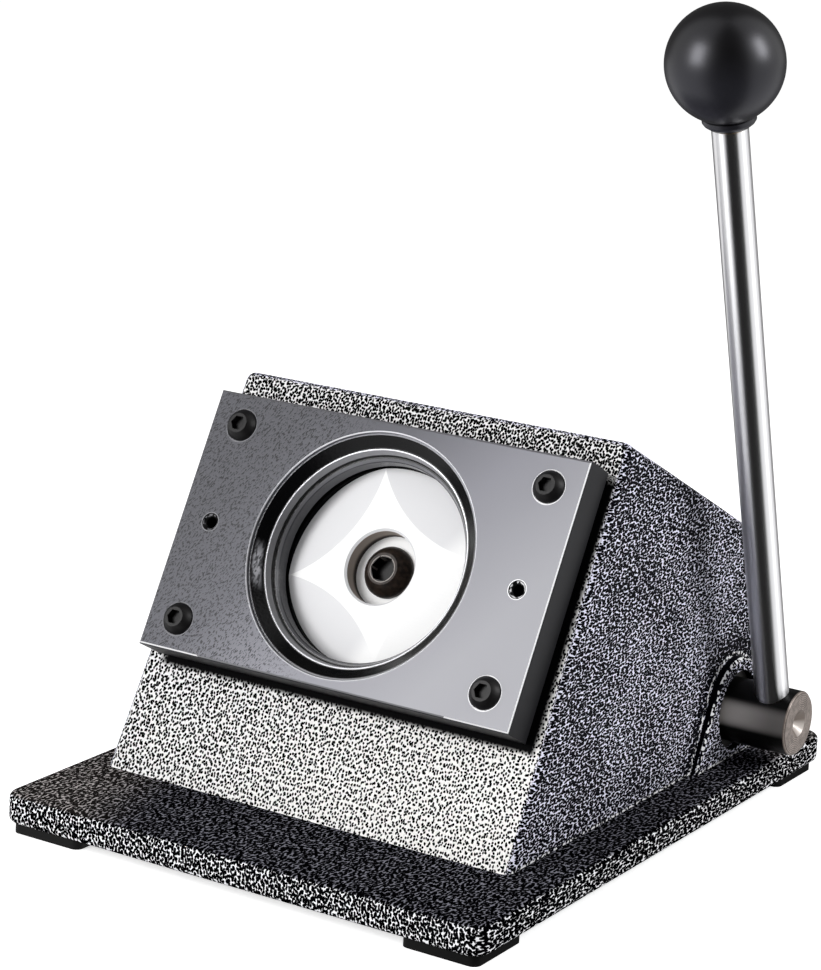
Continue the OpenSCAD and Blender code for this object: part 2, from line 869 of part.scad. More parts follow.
// Height of the spring's wire after t turns, one closed coil at each end
function spring_height(t) =
    let (closed = wire_d + 0.05, pitch = (spring_len - wire_d - 2 * closed) / active_coils)
    wire_d / 2 + closed * min(t, 1) + pitch * min(max(t - 1, 0), active_coils)
        + closed * max(t - 1 - active_coils, 0);

module return_spring() {
    sides = 8;
    per_turn = 24;
    last = (active_coils + 2) * per_turn;
    points = [for (i = [0:last], j = [0:sides - 1])
        let (a = 360 * i / per_turn, b = 360 * (j + 0.5) / sides,
            r = spring_d / 2 + wire_d / 2 * cos(b))
        [r * cos(a), r * sin(a), spring_height(i / per_turn) + wire_d / 2 * sin(b)]];
    walls = [for (i = [0:last - 1], j = [0:sides - 1])
        let (k = (j + 1) % sides)
        [i * sides + j, (i + 1) * sides + j, (i + 1) * sides + k, i * sides + k]];
    ends = [[for (j = [0:sides - 1]) j], [for (j = [sides - 1:-1:0]) last * sides + j]];
    color("#505050")
        on_face(0, 0, collar_front)
            polyhedron(points = points, faces = concat(walls, ends), convexity = 10);
}

module cam_roller() {
    color("lightgray")
        on_face(-roller_w / 2, 0, roller_n)
            rotate([0, 90, 0])
                ring(roller_d, roller_pin_d / 2 + run_gap, roller_w);
}

pin_half = pin_seat_x + clip_t + clip_end;

module roller_pin() {
    color("silver")
        on_face(-pin_half, 0, roller_n)
            rotate([0, 90, 0])
                difference() {
                    cylinder(d = roller_pin_d, h = 2 * pin_half);
                    for (x = [clip_end, 2 * pin_half - clip_end - clip_t])
                        translate([0, 0, x])
                            ring(roller_pin_d + 2, roller_pin_d / 2 - clip_depth, clip_t);
                }
}

module roller_clips() {
    color("dimgray")
        for (side = [-1, 1])
            on_face(side * (pin_seat_x + clip_t / 2) - clip_t / 2, 0, roller_n)
                rotate([0, 90, 0])
                    snap_ring(roller_pin_d + 2 * pin_clip_w, roller_pin_d / 2 - clip_depth);
}

// ---- Cross shaft, cam and lever ----

module cross_shaft() {
    bevel = 0.8;
    length = shaft_right - shaft_left;
    color("#5b5753")
        difference() {
            translate([shaft_left + body_x, shaft_y, shaft_z])
                rotate([0, 90, 0])
                    rotate_extrude($fn = 96)
                        polygon([[0, dimple_depth], [dimple_d / 2, 0], [shaft_d / 2 - bevel, 0],
                            [shaft_d / 2, bevel], [shaft_d / 2, length - bevel],
                            [shaft_d / 2 - bevel, length], [dimple_d / 2, length],
                            [0, length - dimple_depth]]);
            // Hole for the lever rod
            on_lever(-rod_d / 2)
                cylinder(r = rod_d / 2 + seat_gap, h = shaft_d);
            // Groove for the clip at the left end
            on_shaft(washer_out - clip_t - 0.1, washer_out)
                difference() {
                    circle(d = shaft_d + 2);
                    circle(r = shaft_d / 2 - clip_depth);
                }
            // Keyway and the stop pin's hole
            on_shaft(-key_len / 2, key_len / 2)
                key_outline(seat_gap);
            at_stop_pin()
                cylinder(r = stop_pin_d / 2 + seat_gap, h = shaft_d + 2);
        }
}

// Section of the key, half in the shaft and half in the cam
module key_outline(gap) {
    rotate([0, 0, key_angle])
        translate([shaft_d / 2 - key_w * 0.58 - gap, -key_w / 2 - gap])
            square([key_w + 2 * gap, key_w + 2 * gap]);
}

// Moves to the far end of the stop pin, Z along the pin
module at_stop_pin() {
    translate([stop_x + body_x, shaft_y, shaft_z])
        rotate([stop_from - 90, 0, 0])
            translate([0, 0, -shaft_d / 2])
                children();
}

module stop_pin() {
    color("silver")
        at_stop_pin()
            translate([0, 0, 0.5])
                cylinder(d = stop_pin_d, h = shaft_d + stop_pin_stand - 0.5);
}

module cam_plate_outline() {
    last = swing + cam_overrun;
    nose = cam_point(last) - cam_nose_r * unit(cam_normal(last));
    polygon(concat([[0, 0]],
        [for (a = [-cam_lead:2:0]) cam_point(a)],
        [for (i = [0:36]) cam_point(0.01 + i * last / 36)],
        [for (a = [10:10:100]) nose + cam_nose_r * unit(cam_normal(last) - a)]));
}

module cam() {
    color("gray")
        difference() {
            union() {
                on_shaft(-hub_len / 2, hub_len / 2)
                    circle(d = hub_d);
                on_shaft(-roller_w / 2, roller_w / 2)
                    cam_plate_outline();
            }
            on_shaft(-hub_len, hub_len)
                circle(r = shaft_d / 2 + seat_gap);
            on_shaft(-hub_len, hub_len)
                key_outline(seat_gap);
            at_cam_screw()
                cylinder(r = cam_screw_d / 2 + thread_gap, h = hub_d);
        }
}

// Moves to the shaft's surface under the cam's set screw
module at_cam_screw() {
    translate([hub_len / 2 - cam_screw_in + body_x, shaft_y, shaft_z])
        rotate([key_angle - 90 - 90, 0, 0])
            translate([0, 0, shaft_d / 2])
                children();
}

module cam_screw() {
    color("#1a1a1a")
        at_cam_screw()
            difference() {
                cylinder(d = cam_screw_d, h = (hub_d - shaft_d) / 2 - 0.3);
                translate([0, 0, 1.4])
                    cylinder(r = 2.5 / sqrt(3), h = hub_d, $fn = 6);
            }
}

module cam_key() {
    color("silver")
        on_shaft(0.1 - key_len / 2, key_len / 2 - 0.1)
            key_outline(0);
}

module shaft_bush_right() {
    color("goldenrod")
        on_shaft(inner_face, boss_face - bush_sink)
            difference() {
                circle(d = shaft_bush_d);
                circle(r = shaft_d / 2 + run_gap);
            }
}

module shaft_bush_left() {
    color("goldenrod")
        on_shaft(bush_sink - boss_face, stop_x - stop_w / 2)
            difference() {
                circle(d = shaft_bush_d);
                circle(r = shaft_d / 2 + run_gap);
            }
}

module thrust_washer() {
    color("silver")
        on_shaft(washer_out, washer_in)
            difference() {
                circle(d = shaft_bush_d + 4);
                circle(r = shaft_d / 2 + screw_gap);
            }
}

module shaft_clip() {
    color("dimgray")
        translate([washer_out - clip_t + body_x, shaft_y, shaft_z])
            rotate([0, 90, 0])
                snap_ring(shaft_d + 2 * shaft_clip_w, shaft_d / 2 - clip_depth);
}

module lever_rod() {
    shoulder = lever_len - collar_drop;
    tip = lever_len - 1;
    color("#e8e8ec")
        on_lever()
            rotate_extrude($fn = 96)
                polygon([[0, 0.5 - rod_d / 2], [rod_d / 2 - 0.8, 0.5 - rod_d / 2],
                    [rod_d / 2, 1.3 - rod_d / 2], [rod_d / 2, shoulder - 0.6],
                    [rod_d / 2 - 0.6, shoulder], [rod_thread_d / 2, shoulder],
                    [rod_thread_d / 2, tip - 1], [rod_thread_d / 2 - 1, tip], [0, tip]]);
}

module ball_knob() {
    ring_r = collar_ring_d / 2;
    color("#141416")
        on_lever(lever_len)
            difference() {
                union() {
                    sphere(d = ball_d, $fn = 96);
                    rotate_extrude()
                        polygon([[0, -collar_drop], [ring_r - 2, -collar_drop],
                            [ring_r - 0.5, 1.2 - collar_drop], [ring_r, 2 - collar_drop],
                            [ring_r, 3.6 - collar_drop], [ring_r - 0.6, 4.2 - collar_drop],
                            [ring_r - 0.6, -ball_d / 4], [0, -ball_d / 4]]);
                }
                translate([0, 0, -collar_drop - 1])
                    cylinder(r = insert_d / 2 + seat_gap, h = collar_drop + 2);
            }
}

module knob_insert() {
    color("gold")
        on_lever(lever_len - collar_drop)
            ring(insert_d, rod_thread_d / 2 + thread_gap, collar_drop);
}

base_plate();
rubber_feet();
foot_screws();
base_screws();
body_casting();
die_plate();
die_screws();
plate_spacers();
punch();
punch_screw();
ram();
ram_bush();
guide_screw();
spring_washer();
return_spring();
spring_collar();
collar_clip();
cam_roller();
roller_pin();
roller_clips();
cross_shaft();
shaft_bush_right();
shaft_bush_left();
thrust_washer();
shaft_clip();
stop_pin();
cam();
cam_key();
cam_screw();
lever_rod();
ball_knob();
knob_insert();
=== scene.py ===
import math

import bpy
from mathutils import Matrix, Vector


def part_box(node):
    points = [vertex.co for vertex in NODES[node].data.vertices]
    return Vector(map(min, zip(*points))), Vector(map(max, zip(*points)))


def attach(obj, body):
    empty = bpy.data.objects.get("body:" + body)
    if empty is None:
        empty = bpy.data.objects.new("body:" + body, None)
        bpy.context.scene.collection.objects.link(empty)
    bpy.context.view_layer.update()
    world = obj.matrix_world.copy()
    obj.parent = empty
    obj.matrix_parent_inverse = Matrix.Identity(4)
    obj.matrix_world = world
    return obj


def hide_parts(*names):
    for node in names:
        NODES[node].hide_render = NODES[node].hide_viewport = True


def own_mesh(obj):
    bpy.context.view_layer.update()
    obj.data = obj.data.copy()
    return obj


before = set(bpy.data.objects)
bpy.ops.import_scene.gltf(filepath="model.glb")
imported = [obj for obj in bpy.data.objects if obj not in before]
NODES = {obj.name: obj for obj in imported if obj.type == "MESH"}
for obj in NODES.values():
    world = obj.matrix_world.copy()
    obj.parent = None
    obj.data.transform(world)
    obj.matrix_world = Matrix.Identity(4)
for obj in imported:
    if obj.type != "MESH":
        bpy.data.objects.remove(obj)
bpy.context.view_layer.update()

# All sizes are in metres. X is to the right, Y to the back and Z up.
RIGHT = Vector((1, 0, 0))
BACK = Vector((0, 1, 0))
UP = Vector((0, 0, 1))

# The slanted face, the die plate on it and the middle of the die
FACE_ANGLE = math.radians(61.6)
OUT = Vector((0, -math.sin(FACE_ANGLE), math.cos(FACE_ANGLE)))
UP_SLOPE = Vector((0, math.cos(FACE_ANGLE), math.sin(FACE_ANGLE)))
PAPER_SLOT = 0.002
PLATE_T = 0.014
PLATE_HALF_H = 0.04975
plate_low, plate_high = (Vector(corner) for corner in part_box("die_plate"))
PLATE_HALF_W = (plate_high.x - plate_low.x) / 2
DIE = (plate_low + plate_high) / 2 - OUT * (PAPER_SLOT + PLATE_T / 2)
# Radius at the outside of the bevel round the die's mouth
MOUTH_EDGE_R = 0.0465
# The die screws from the middle of the die; the tapped holes are SCREW_X out too, at mid height
SCREW_X = 0.0655
SCREW_Y = 0.03775

# The body: its side walls lean in by SIDE_LEAN over its height
BASE_TOP = 0.0152
BODY_H = 0.1388
BODY_HALF_W = 0.0865
SIDE_LEAN = 0.004
ROOF_ANGLE = math.radians(26.6)
ROOF = Vector((0, math.sin(ROOF_ANGLE), math.cos(ROOF_ANGLE)))

# The shaft, its boss on the side wall, and the lever
BOSS_R = 0.0205
BOSS_FLANK = math.radians(26)
shaft_low, shaft_high = (Vector(corner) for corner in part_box("cross_shaft"))
SHAFT = (shaft_low + shaft_high) / 2
SHAFT_END = shaft_high.x
DIMPLE_R = 0.0053
LEVER_LEAN = math.radians(18)
ROD_AXIS = Vector((0, -math.sin(LEVER_LEAN), math.cos(LEVER_LEAN)))
ROD_FOOT = Vector((0.0907, 0.0818, 0))
BALL_R = 0.0208
ball_low, ball_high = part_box("ball_knob")
BALL = Vector((ball_low[0] + BALL_R, ball_low[1] + BALL_R, ball_high[2] - BALL_R))


# ---- Node graphs ----

class Graph:
    """A small helper that builds one node tree."""

    def __init__(self, tree):
        self.tree = tree
        tree.nodes.clear()

    def read_surface(self):
        """Set the place and the way the surface faces, in the object's frame."""
        self.place = self.node("ShaderNodeTexCoord", out="Object")
        self.normal = self.node("ShaderNodeTexCoord", out="Normal")
        self.x, self.y, self.z = self.parts(self.place)
        self.sideways = self.size(self.dot(self.normal, RIGHT))

    def read_face(self):
        """Set the place seen from the die: across to the right, slope up the face, out of it."""
        self.die_place = self.node("ShaderNodeMapping", {"Vector": self.place, "Location": DIE,
                                                         "Rotation": (FACE_ANGLE, 0, 0)},
                                   vector_type="TEXTURE")
        self.across, self.slope, self.out = self.parts(self.die_place)
        self.radius = self.length(self.pair(self.across, self.slope))

    def fill(self, socket, value):
        """Link or set one input; None leaves it as it is."""
        if value is None:
            return
        if isinstance(value, bpy.types.NodeSocket):
            self.tree.links.new(value, socket)
        elif socket.type == "RGBA":
            socket.default_value = tuple(value)[:3] + (1,)
        else:
            socket.default_value = value

    def node(self, kind, inputs=(), out=0, **props):
        new = self.tree.nodes.new(kind)
        for name, value in props.items():
            setattr(new, name, value)
        named = inputs.items() if isinstance(inputs, dict) else enumerate(inputs)
        for key, value in named:
            self.fill(new.inputs[key], value)
        return new.outputs[out] if new.outputs else None

    # Numbers

    def math(self, op, a, b=None, clamp=False):
        return self.node("ShaderNodeMath", (a, b), operation=op, use_clamp=clamp)

    def add(self, a, b):
        return self.math("ADD", a, b)

    def sub(self, a, b):
        return self.math("SUBTRACT", a, b)

    def mul(self, a, b):
        return self.math("MULTIPLY", a, b)

    def size(self, a):
        return self.math("ABSOLUTE", a)

    def less(self, a, limit):
        return self.math("LESS_THAN", a, limit)

    def more(self, a, limit):
        return self.math("GREATER_THAN", a, limit)

    def all_of(self, first, *others):
        """The product of several factors."""
        for other in others:
            first = self.mul(first, other)
        return first

    def any_of(self, first, *others):
        """The highest of several factors."""
        for other in others:
            first = self.math("MAXIMUM", first, other)
        return first

    def smooth(self, x, low, high, to_low=0.0, to_high=1.0):
        return self.node("ShaderNodeMapRange", (x, low, high, to_low, to_high),
                         interpolation_type="SMOOTHSTEP")

    def fade(self, x, low, high):
        """1 up to low, 0 from high."""
        return self.smooth(x, low, high, 1.0, 0.0)

    def blend(self, factor, a, b):
        return self.node("ShaderNodeMix", {0: factor, 2: a, 3: b})

    # Vectors

    def vector(self, op, *inputs, out="Vector"):
        return self.node("ShaderNodeVectorMath", inputs, out, operation=op)

    def dot(self, a, b):
        return self.vector("DOT_PRODUCT", a, tuple(b), out="Value")

    def scaled(self, a, factor):
        return self.node("ShaderNodeVectorMath", {0: a, "Scale": factor}, operation="SCALE")

    def parts(self, a):
        new = self.tree.nodes.new("ShaderNodeSeparateXYZ")
        self.fill(new.inputs[0], a)
        return tuple(new.outputs)

    def pair(self, x, y):
        return self.node("ShaderNodeCombineXYZ", (x, y, 0.0))

    def length(self, a):
        return self.vector("LENGTH", a, out="Value")

    # Colours and textures

    def mix(self, factor, a, b):
        new = self.tree.nodes.new("ShaderNodeMix")
        new.data_type = "RGBA"
        for key, value in ((0, factor), (6, a), (7, b)):
            self.fill(new.inputs[key], value)
        return new.outputs[2]

    def ramp(self, x, stops, constant=False):
        new = self.tree.nodes.new("ShaderNodeValToRGB")
        self.tree.links.new(x, new.inputs[0])
        new.color_ramp.interpolation = "CONSTANT" if constant else "LINEAR"
        elements = new.color_ramp.elements
        while len(elements) < len(stops):
            elements.new(0.5)
        for element, (position, colour) in zip(elements, stops):
            element.position = position
            element.color = tuple(colour) + (1,)
        return new.outputs[0]

    def noise(self, where, scale, detail=2.0, rough=0.5, out=0):
        return self.node("ShaderNodeTexNoise", {"Vector": where, "Scale": scale, "Detail": detail,
                                                "Roughness": rough}, out)

    def bump(self, height, distance, strength):
        return self.node("ShaderNodeBump", {"Height": height, "Distance": distance,
                                            "Strength": strength})


def srgb(text):
    """Linear colour from a hex code."""
    out = []
    for i in (0, 2, 4):
        c = int(text[i:i + 2], 16) / 255
        out.append(c / 12.92 if c <= 0.04045 else ((c + 0.055) / 1.055) ** 2.4)
    return tuple(out)


def material(name, build):
    """A Principled material; build(graph) returns the shader's inputs."""
    new = bpy.data.materials.new(name)
    new.use_nodes = True
    g = Graph(new.node_tree)
    g.read_surface()
    shader = g.node("ShaderNodeBsdfPrincipled", build(g))
    g.node("ShaderNodeOutputMaterial", (shader,))
    return new


def paint(node, mat):
    """Give a CAD node a material through its object's slots."""
    mesh = NODES[node].data
    if not mesh.materials:
        mesh.materials.append(mat)
    for slot in NODES[node].material_slots:
        slot.link = "OBJECT"
        slot.material = mat


# ---- Places on the object ----

def on_slanted_face(g):
    off_face = g.size(g.out)
    return g.all_of(g.smooth(g.dot(g.normal, OUT), 0.75, 0.9), g.fade(off_face, 0.0042, 0.006))


def above_plate(g):
    return g.smooth(g.slope, PLATE_HALF_H - 0.002, PLATE_HALF_H)


def beside_plate(g, reach):
    """1 at the die plate's lower and right edges, 0 from reach outwards."""
    right = g.sub(g.across, PLATE_HALF_W)
    below = g.sub(g.mul(g.slope, -1), PLATE_HALF_H)
    near = g.fade(g.any_of(right, below), reach * 0.4, reach)
    return g.all_of(near, g.smooth(g.across, -PLATE_HALF_W - 0.001, -PLATE_HALF_W + 0.004),
                    g.fade(g.slope, PLATE_HALF_H - 0.004, PLATE_HALF_H + 0.001))


def boss_distance(g):
    """How far a place lies outside the arched outline of the shaft's boss."""
    y = g.size(g.sub(g.y, SHAFT.y))
    z = g.sub(g.z, SHAFT.z)
    turn = g.any_of(g.math("ARCTAN2", z, y), BOSS_FLANK)
    along_y = g.mul(y, g.math("COSINE", turn))
    along_z = g.mul(z, g.math("SINE", turn))
    return g.sub(g.add(along_y, along_z), BOSS_R)


def wall_stand(g):
    """How far a place stands out from the plane of the body's side wall."""
    risen = g.sub(g.z, BASE_TOP)
    wall_x = g.sub(BODY_HALF_W, g.mul(risen, SIDE_LEAN / BODY_H))
    return g.sub(g.size(g.sub(g.x, DIE.x)), wall_x)


# ---- Paint: hammertone, dark pits in a silver net ----

PITS_PER_METRE = 700
PIT_SWAY = 0.0013
DEPTH_STRETCH = 0.48
SLOPE_STRETCH = 0.8


def pattern_place(g, fine):
    """A flat place on the surface, whichever way it faces, drawn out along Y, fine times as fine."""
    y = g.mul(g.y, DEPTH_STRETCH)
    side_on = g.more(g.sideways, 0.65)
    level_on = g.more(g.size(g.dot(g.normal, UP)), 0.75)
    up = g.blend(level_on, g.mul(g.dot(g.place, UP_SLOPE), SLOPE_STRETCH), y)
    up = g.blend(side_on, up, g.z)
    across = g.blend(side_on, g.x, y)
    return g.scaled(g.pair(across, up), fine)


def hammertone(g, fine, pits, light, dark):
    """Height and colour; pits is their radius, as a share of the distance between them."""
    where = pattern_place(g, fine)
    sway = g.noise(where, 520, 1.0, out=1)
    moved = g.vector("MULTIPLY_ADD", sway, (PIT_SWAY, PIT_SWAY, PIT_SWAY), where)
    away = g.node("ShaderNodeTexVoronoi", {"Vector": moved, "Scale": PITS_PER_METRE,
                                           "Randomness": 0.85}, voronoi_dimensions="2D")
    level = g.smooth(g.sub(away, pits), -0.03, 0.03)
    tone = g.smooth(g.noise(where, 900, 1.0), 0.35, 0.65, 0.85, 1.0)
    return level, g.mix(g.mul(level, tone), dark, light)


def face_value(g, values, other):
    """A value by the way the surface faces: values is a list of (direction, cosine, value)."""
    value = other
    for direction, cosine, here in values:
        facing = g.smooth(g.dot(g.normal, direction), cosine - 0.05, cosine + 0.05)
        value = g.blend(facing, value, here)
    return value


def enamel(g, colour, level, specular):
    return {"Base Color": colour, "Roughness": 0.5, "Specular IOR Level": specular,
            "Normal": g.bump(level, 0.0003, 0.3)}


def painted_face_light(g):
    """Painted light: 0 to 1 over the slanted face, from its upper left to its lit lower right."""
    return g.smooth(g.sub(g.mul(g.x, 0.7), g.z), -0.13, 0.0)


def side_pits(g):
    """The side walls are cloudy, and darker towards the top of the front half."""
    cloud = g.smooth(g.noise(g.place, 26, 2.0), 0.35, 0.65, -0.03, 0.03)
    high = g.all_of(g.smooth(g.z, 0.08, 0.13), g.fade(g.y, 0.035, 0.065))
    return g.add(cloud, g.blend(high, 0.55, 0.60))


def body_pits(g, side, front, stand, away):
    """The pits' radius, which by face is partly painted light and shade. The boss's own wall is
    painted dark as shade, and the side wall round the boss carries a painted shadow.
    """
    # The front's pits are smaller towards its lower right, as painted light.
    front_pits = g.blend(above_plate(g), g.blend(painted_face_light(g), 0.42, 0.355), 0.49)
    boss_wall_painted_shade = g.all_of(g.smooth(stand, 0.0002, 0.0005), g.fade(g.sideways, 0.3, 0.5))
    boss_painted_shadow = g.all_of(g.fade(away, 0.0006, 0.013), g.smooth(away, 0.0, 0.0006), side)
    pits = face_value(g, [(ROOF, 0.86, 0.48)], 0.50)
    for part, here in ((side, side_pits(g)), (front, front_pits), (boss_painted_shadow, 0.70), (boss_wall_painted_shade, 1.5)):
        pits = g.blend(part, pits, here)
    return pits


def edge_highlights(g, side, stand, away):
    """Where bright dashes of painted highlight go: the boss's edge and root, and the body's foot."""
    boss_edge = g.all_of(g.smooth(stand, 0.0018, 0.0022), g.smooth(g.sideways, 0.4, 0.6),
                         g.fade(g.sideways, 0.85, 0.95))
    boss_root = g.all_of(g.fade(away, 0.0014, 0.0018), g.smooth(away, -0.0006, -0.0002),
                         g.fade(stand, 0.0005, 0.001), side)
    foot_line = g.all_of(g.fade(g.z, BASE_TOP + 0.0006, BASE_TOP + 0.001), side)
    return g.any_of(boss_edge, boss_root, foot_line)


def shaded(g, front):
    """Painted shadow on the slanted face close beside the die plate, and painted shade in the pocket
    behind the punch.
    """
    pocket = g.all_of(g.fade(g.size(g.out), 0.028, 0.03), g.less(g.radius, MOUTH_EDGE_R))
    return g.any_of(g.all_of(beside_plate(g, 0.0042), front), pocket)


def body_paint(g):
    g.read_face()
    front = on_slanted_face(g)
    side = g.smooth(g.sideways, 0.75, 0.9)
    stand = wall_stand(g)
    away = boss_distance(g)
    # The silver net is painted lighter towards the face's lower right, as painted light.
    silver = g.mix(painted_face_light(g), srgb("f4f3f4"), srgb("fffdfb"))
    light = g.mix(front, srgb("eeeeff"), silver)
    dark = g.mix(front, srgb("030308"), srgb("030303"))
    fine = g.blend(front, 1.85, g.blend(above_plate(g), 1.25, 1.5))
    pits = body_pits(g, side, front, stand, away)
    level, colour = hammertone(g, fine, pits, light, dark)
    # Bright dashes of painted highlight along the boss's edges and the body's foot.
    highlight_dashes = g.mix(g.smooth(g.noise(g.place, 800, 0.0), 0.50, 0.56), dark, srgb("f4f4f6"))
    colour = g.mix(edge_highlights(g, side, stand, away), colour, highlight_dashes)
    # Near black: the painted shadow beside the die plate and the painted shade in the pocket.
    colour = g.mix(shaded(g, front), colour, srgb("050506"))
    return enamel(g, colour, level, 0.02)


def base_paint(g):
    # The pits that differ by face and the darker net on the top are partly the paint's own look,
    # partly painted light and shade.
    pits = face_value(g, [(UP, 0.80, 0.575), (-BACK, 0.70, 0.565), (RIGHT, 0.70, 0.595),
                          (-RIGHT, 0.70, 0.50), (BACK, 0.70, 0.50)], 0.6)
    on_top = g.smooth(g.dot(g.normal, UP), 0.6, 0.85)
    # The paler left end and rear right corner of the plate's top
    left_end = g.fade(g.add(g.x, g.mul(g.y, 0.25)), -0.118, -0.085)
    rear_right = g.smooth(g.add(g.x, g.y), 0.165, 0.195)
    pale = g.any_of(left_end, rear_right)
    top = g.mix(pale, srgb("7c7c86"), srgb("b8b2b1"))
    light = g.mix(on_top, srgb("fbfbff"), top)
    dark = g.mix(g.all_of(on_top, pale), srgb("020203"), srgb("1c1a19"))
    level, colour = hammertone(g, 1.7, pits, light, dark)
    return enamel(g, colour, level, 0.0)


paint("body_casting", material("hammertone_body", body_paint))
paint("base_plate", material("hammertone_base", base_paint))


# ---- Die plate ----

# Colours of the die's hole from each radius outwards: wall, steps, cone, rim and bevel; partly the
# steel's own tones, partly painted shade on the wall and steps and painted highlights on the lip and
# bevel lines
HOLE_RINGS = ((0.0, "38383b"), (0.03785, "5a5a5d"), (0.0386, "070708"), (0.0395, "68686b"),
              (0.040625, "a9a9ad"), (0.041, "050506"), (0.045225, "4a4a4e"), (0.046025, "a6a6aa"))
RAMP_REACH = 0.05
# Radius of the painted highlight ring round each die screw's head
SCREW_RING_R = 0.0065
# Radii at a tapped hole: its bright ring of painted highlight, the dark ring of painted shade inside
# it, and the thread's painted glints
TAPPED_RING_R = 0.0037
TAPPED_DARK_R = 0.0034
GLINTS_R = (0.0025, 0.0031)
# The middle of the painted glint on the cone: up the slope, and by radius
GLINT_SLOPE = -0.011
GLINT_R = 0.0434
# The painted highlight on the plate's own bevel is bright beyond this radius
BRIGHT_RIM_R = 0.072
BRIGHT_BEVEL_W = 0.0004


def plate_face(g, skin, left):
    """A painted reflection, dark at the upper left and light at the lower right, with dark marks on
    the left third.
    """
    # The painted reflection's gradient, from the upper left to the lower right
    light = g.sub(g.mul(g.across, 7.0), g.mul(g.slope, 5.0))
    face = g.ramp(g.math("ADD", light, 0.5, clamp=True),
                  [(0.0, srgb("49494e")), (0.3, srgb("56565c")), (0.62, srgb("7a7a81")),
                   (1.0, srgb("929297"))])
    return g.scaled(face, g.blend(left, 1.0, g.smooth(skin, 0.38, 0.46, 0.3, 1.12)))


def plate_bevel(g):
    """Painted highlight: the bevel's inner half is bright along the right edge and at the lower
    edge's ends.
    """
    toward = g.sub(g.dot(g.normal, RIGHT), g.dot(g.normal, UP_SLOPE))
    inner_half = g.all_of(g.less(g.across, PLATE_HALF_W - BRIGHT_BEVEL_W),
                          g.more(g.slope, BRIGHT_BEVEL_W - PLATE_HALF_H))
    bevel_highlight = g.all_of(g.smooth(toward, 0.0, 0.4), inner_half,
                     g.blend(g.more(g.radius, BRIGHT_RIM_R), 0.1, 1.0))
    return g.mix(bevel_highlight, g.mix(inner_half, srgb("2c2c2f"), srgb("6a6a6e")), srgb("f4f4f6"))


def die_hole(g):
    """Rings by radius with painted shade and highlights, painted brighter towards the top, and a
    pale, mottled painted glint on the cone's left.
    """
    rings = g.ramp(g.mul(g.radius, 1 / RAMP_REACH),
                   [(start / RAMP_REACH, srgb(text)) for start, text in HOLE_RINGS], constant=True)
    # Painted light: the rings grow brighter towards the top.
    rings = g.scaled(rings, g.smooth(g.slope, 0.0, 0.035, 1.0, 2.0))
    drawn = g.node("ShaderNodeMapping", {"Vector": g.die_place, "Scale": (3, 1, 1)})
    mottle = g.smooth(g.noise(drawn, 500, 1.0), 0.35, 0.6, 0.2, 1.0)
    glint = g.all_of(g.fade(g.size(g.sub(g.slope, GLINT_SLOPE)), 0.002, 0.010),
                     g.fade(g.size(g.sub(g.radius, GLINT_R)), 0.0006, 0.0018),
                     g.less(g.across, 0.0), mottle)
    return g.mix(glint, rings, srgb("a3a3a8"))


def screw_rings(g, colour, highlight_ring):
    """Bright rings of painted highlight round the screws' heads and the tapped holes; inside each
    hole, painted shade with painted glints of thread.
    """
    dx = g.sub(g.size(g.across), SCREW_X)
    dy = g.sub(g.size(g.slope), SCREW_Y)
    colour = g.mix(g.less(g.length(g.pair(dx, dy)), SCREW_RING_R), colour, highlight_ring)
    tapped = g.length(g.pair(dx, g.slope))
    colour = g.mix(g.less(tapped, TAPPED_RING_R), colour, highlight_ring)
    glints = g.all_of(g.smooth(g.noise(g.die_place, 700, 1.0), 0.47, 0.53),
                      g.more(tapped, GLINTS_R[0]), g.less(tapped, GLINTS_R[1]))
    return g.mix(g.less(tapped, TAPPED_DARK_R), colour, g.mix(glints, srgb("060607"), highlight_ring))


def die_steel(g):
    g.read_face()
    facing = g.dot(g.normal, OUT)
    left = g.smooth(g.across, -0.002, -0.03)
    slanted = g.node("ShaderNodeMapping", {"Vector": g.die_place, "Scale": (0.6, 1.5, 1),
                                           "Rotation": (0, 0, math.radians(-30))},
                     vector_type="TEXTURE")
    skin = g.noise(slanted, 1250, 1.0)
    colour = g.mix(g.smooth(facing, 0.5, 0.6), srgb("1c1c1f"), plate_bevel(g))
    colour = g.mix(g.smooth(facing, 0.96, 0.99), colour, plate_face(g, skin, left))
    # The rings' painted highlight is dimmer on the left.
    colour = screw_rings(g, colour, g.mix(left, srgb("e6e6e8"), srgb("77777b")))
    inside = g.less(g.radius, MOUTH_EDGE_R)
    return {"Base Color": g.mix(inside, colour, die_hole(g)), "Metallic": 0.15,
            "Roughness": g.blend(inside, 0.45, 0.2), "Specular IOR Level": 0.25,
            "Normal": g.bump(g.mul(skin, left), 0.0003, 0.4)}


paint("die_plate", material("die_steel", die_steel))


# ---- Punch ----

# Towards the facet at the punch's lower right, painted as the lit one, in the die's frame
LIT_TURN = math.radians(-29.2)
LIT_FACET = (math.cos(LIT_TURN), math.sin(LIT_TURN), 0)
COUNTERBORE_R = 0.01395


